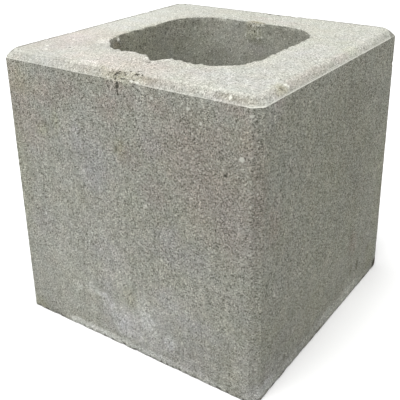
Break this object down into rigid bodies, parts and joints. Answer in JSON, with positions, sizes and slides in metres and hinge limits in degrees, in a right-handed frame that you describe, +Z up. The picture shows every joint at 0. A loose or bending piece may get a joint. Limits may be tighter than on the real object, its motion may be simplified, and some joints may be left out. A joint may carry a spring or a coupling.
{
  "type": "hollow concrete pier block",
  "caption": "Cube-shaped hollow concrete pier block with a square, round-cornered core from top to underside, chamfered upright corners and a bevelled top edge.",
  "frame": {"origin": "middle of the underside", "axes": "+Z up, along the core; +X towards the right upright face; -Y towards the front upright face, whose wall carries the chipped core rim"},
  "size_m": [0.2, 0.2, 0.2],
  "materials": {
    "concrete": "bare pressed grey concrete, fine sandy grain, matt"
  },
  "bodies": {
    "root": {"pier_block": "concrete"}
  },
  "joints": []
}
